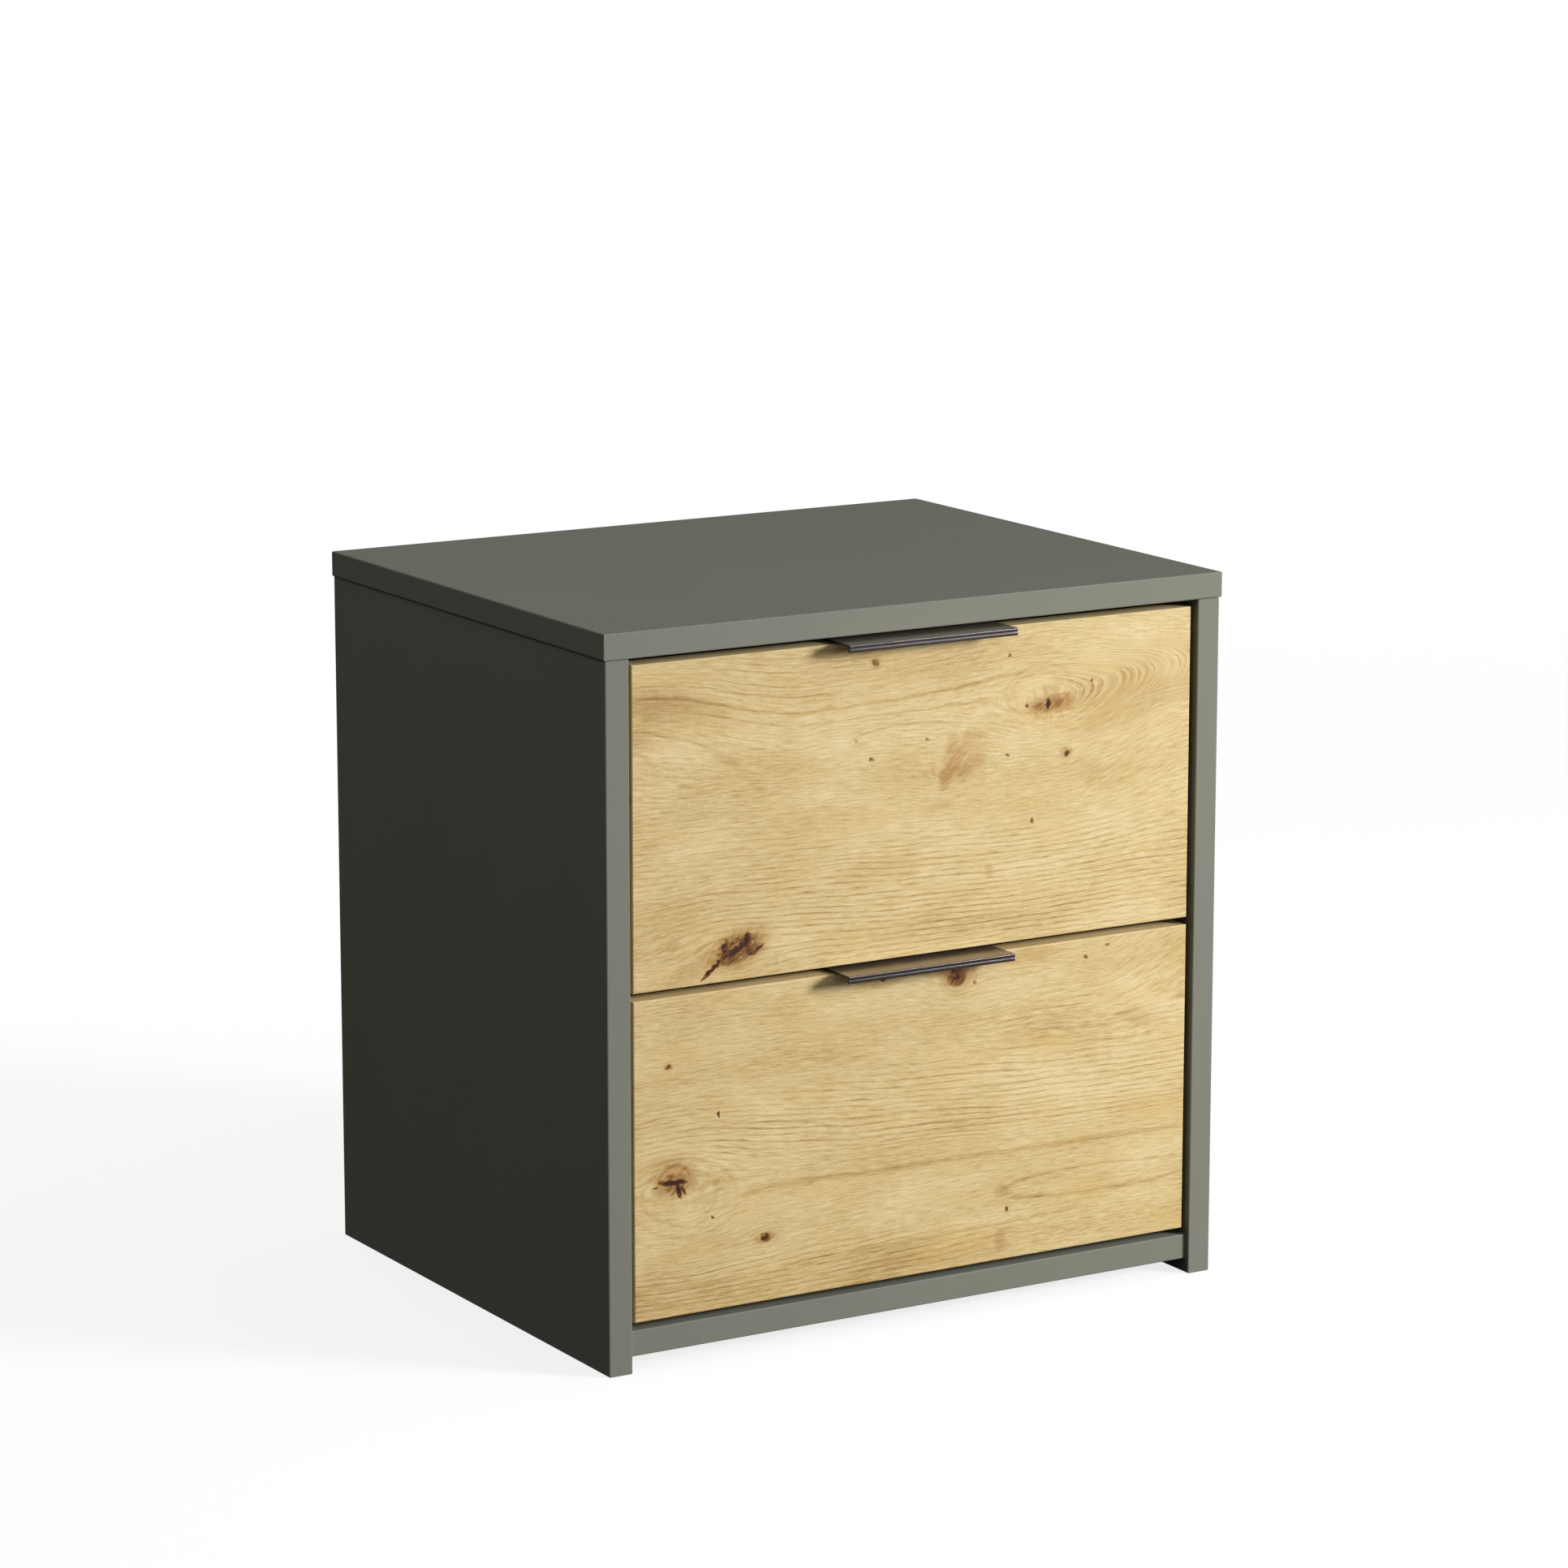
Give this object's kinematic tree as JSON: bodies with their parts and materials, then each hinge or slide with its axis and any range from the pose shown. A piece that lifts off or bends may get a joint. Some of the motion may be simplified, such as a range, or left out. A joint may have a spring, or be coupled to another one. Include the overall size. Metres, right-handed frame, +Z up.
{
  "type": "nightstand with drawers",
  "caption": "Low box nightstand with inset oak-look drawers on roller runners and slim edge-pull handles.",
  "frame": {"origin": "on the floor, under the middle of the whole piece with its drawers closed", "axes": "+Z up, the drawers open towards -Y, +X to the right of someone who faces them"},
  "size_m": [0.438, 0.368, 0.45],
  "materials": {
    "carcass_board": "matte grey-green laminated board with matching edge band",
    "oak_decor": "knotty oak decor, grain across, matte",
    "box_board": "white melamine board",
    "hardboard": "white-faced hardboard",
    "rail_steel": "white powder-coated sheet steel",
    "nylon": "moulded nylon",
    "handle": "satin anthracite",
    "zinc": "zinc-plated"
  },
  "bodies": {
    "carcass": {"top_panel": "carcass_board", "side_panel_left": "carcass_board", "side_panel_right": "carcass_board", "bottom_panel": "carcass_board", "back_panel": "hardboard", "cam_left_front": "zinc", "cam_left_rear": "zinc", "cam_right_front": "zinc", "cam_right_rear": "zinc", "cabinet_rail_lower_left": "rail_steel", "cabinet_rail_lower_right": "rail_steel", "cabinet_rail_upper_left": "rail_steel", "cabinet_rail_upper_right": "rail_steel", "cabinet_rail_screw_lower_left_front": "zinc", "cabinet_rail_screw_lower_left_rear": "zinc", "cabinet_rail_screw_lower_right_front": "zinc", "cabinet_rail_screw_lower_right_rear": "zinc", "cabinet_rail_screw_upper_left_front": "zinc", "cabinet_rail_screw_upper_left_rear": "zinc", "cabinet_rail_screw_upper_right_front": "zinc", "cabinet_rail_screw_upper_right_rear": "zinc"},
    "lower_drawer": {"lower_drawer_front": "oak_decor", "lower_drawer_side_left": "box_board", "lower_drawer_side_right": "box_board", "lower_drawer_back": "box_board", "lower_drawer_bottom": "hardboard", "lower_drawer_handle": "handle", "lower_drawer_handle_screw_left": "zinc", "lower_drawer_handle_screw_right": "zinc", "lower_drawer_rail_left": "rail_steel", "lower_drawer_rail_right": "rail_steel", "lower_drawer_rail_screw_left_front": "zinc", "lower_drawer_rail_screw_left_rear": "zinc", "lower_drawer_rail_screw_right_front": "zinc", "lower_drawer_rail_screw_right_rear": "zinc"},
    "upper_drawer": {"upper_drawer_front": "oak_decor", "upper_drawer_side_left": "box_board", "upper_drawer_side_right": "box_board", "upper_drawer_back": "box_board", "upper_drawer_bottom": "hardboard", "upper_drawer_handle": "handle", "upper_drawer_handle_screw_left": "zinc", "upper_drawer_handle_screw_right": "zinc", "upper_drawer_rail_left": "rail_steel", "upper_drawer_rail_right": "rail_steel", "upper_drawer_rail_screw_left_front": "zinc", "upper_drawer_rail_screw_left_rear": "zinc", "upper_drawer_rail_screw_right_front": "zinc", "upper_drawer_rail_screw_right_rear": "zinc"},
    "cabinet_roller_lower_left": {"cabinet_roller_lower_left": "nylon"},
    "lower_drawer_roller_left": {"lower_drawer_roller_left": "nylon"},
    "cabinet_roller_lower_right": {"cabinet_roller_lower_right": "nylon"},
    "lower_drawer_roller_right": {"lower_drawer_roller_right": "nylon"},
    "cabinet_roller_upper_left": {"cabinet_roller_upper_left": "nylon"},
    "upper_drawer_roller_left": {"upper_drawer_roller_left": "nylon"},
    "cabinet_roller_upper_right": {"cabinet_roller_upper_right": "nylon"},
    "upper_drawer_roller_right": {"upper_drawer_roller_right": "nylon"}
  },
  "joints": [
    {"name": "lower_drawer_slide", "type": "slide", "parent": "carcass", "child": "lower_drawer", "axis": [0, -1, 0], "range_m": [0, 0.22]},
    {"name": "upper_drawer_slide", "type": "slide", "parent": "carcass", "child": "upper_drawer", "axis": [0, -1, 0], "range_m": [0, 0.22]},
    {"name": "cabinet_roller_lower_left_spin", "type": "hinge", "parent": "carcass", "child": "cabinet_roller_lower_left", "pos_m": [-0.19575, -0.141, 0.052], "axis": [1, 0, 0], "range_deg": [0, 1576]},
    {"name": "lower_drawer_roller_left_spin", "type": "hinge", "parent": "lower_drawer", "child": "lower_drawer_roller_left", "pos_m": [-0.19575, 0.141, 0.052], "axis": [1, 0, 0], "range_deg": [0, 1576]},
    {"name": "cabinet_roller_lower_right_spin", "type": "hinge", "parent": "carcass", "child": "cabinet_roller_lower_right", "pos_m": [0.19575, -0.141, 0.052], "axis": [1, 0, 0], "range_deg": [0, 1576]},
    {"name": "lower_drawer_roller_right_spin", "type": "hinge", "parent": "lower_drawer", "child": "lower_drawer_roller_right", "pos_m": [0.19575, 0.141, 0.052], "axis": [1, 0, 0], "range_deg": [0, 1576]},
    {"name": "cabinet_roller_upper_left_spin", "type": "hinge", "parent": "carcass", "child": "cabinet_roller_upper_left", "pos_m": [-0.19575, -0.141, 0.254], "axis": [1, 0, 0], "range_deg": [0, 1576]},
    {"name": "upper_drawer_roller_left_spin", "type": "hinge", "parent": "upper_drawer", "child": "upper_drawer_roller_left", "pos_m": [-0.19575, 0.141, 0.254], "axis": [1, 0, 0], "range_deg": [0, 1576]},
    {"name": "cabinet_roller_upper_right_spin", "type": "hinge", "parent": "carcass", "child": "cabinet_roller_upper_right", "pos_m": [0.19575, -0.141, 0.254], "axis": [1, 0, 0], "range_deg": [0, 1576]},
    {"name": "upper_drawer_roller_right_spin", "type": "hinge", "parent": "upper_drawer", "child": "upper_drawer_roller_right", "pos_m": [0.19575, 0.141, 0.254], "axis": [1, 0, 0], "range_deg": [0, 1576]}
  ],
  "couplings": [
    {"joint": "cabinet_roller_lower_left_spin", "follows": "lower_drawer_slide", "rad_per_m": 125},
    {"joint": "lower_drawer_roller_left_spin", "follows": "lower_drawer_slide", "rad_per_m": 125},
    {"joint": "cabinet_roller_lower_right_spin", "follows": "lower_drawer_slide", "rad_per_m": 125},
    {"joint": "lower_drawer_roller_right_spin", "follows": "lower_drawer_slide", "rad_per_m": 125},
    {"joint": "cabinet_roller_upper_left_spin", "follows": "upper_drawer_slide", "rad_per_m": 125},
    {"joint": "upper_drawer_roller_left_spin", "follows": "upper_drawer_slide", "rad_per_m": 125},
    {"joint": "cabinet_roller_upper_right_spin", "follows": "upper_drawer_slide", "rad_per_m": 125},
    {"joint": "upper_drawer_roller_right_spin", "follows": "upper_drawer_slide", "rad_per_m": 125}
  ]
}
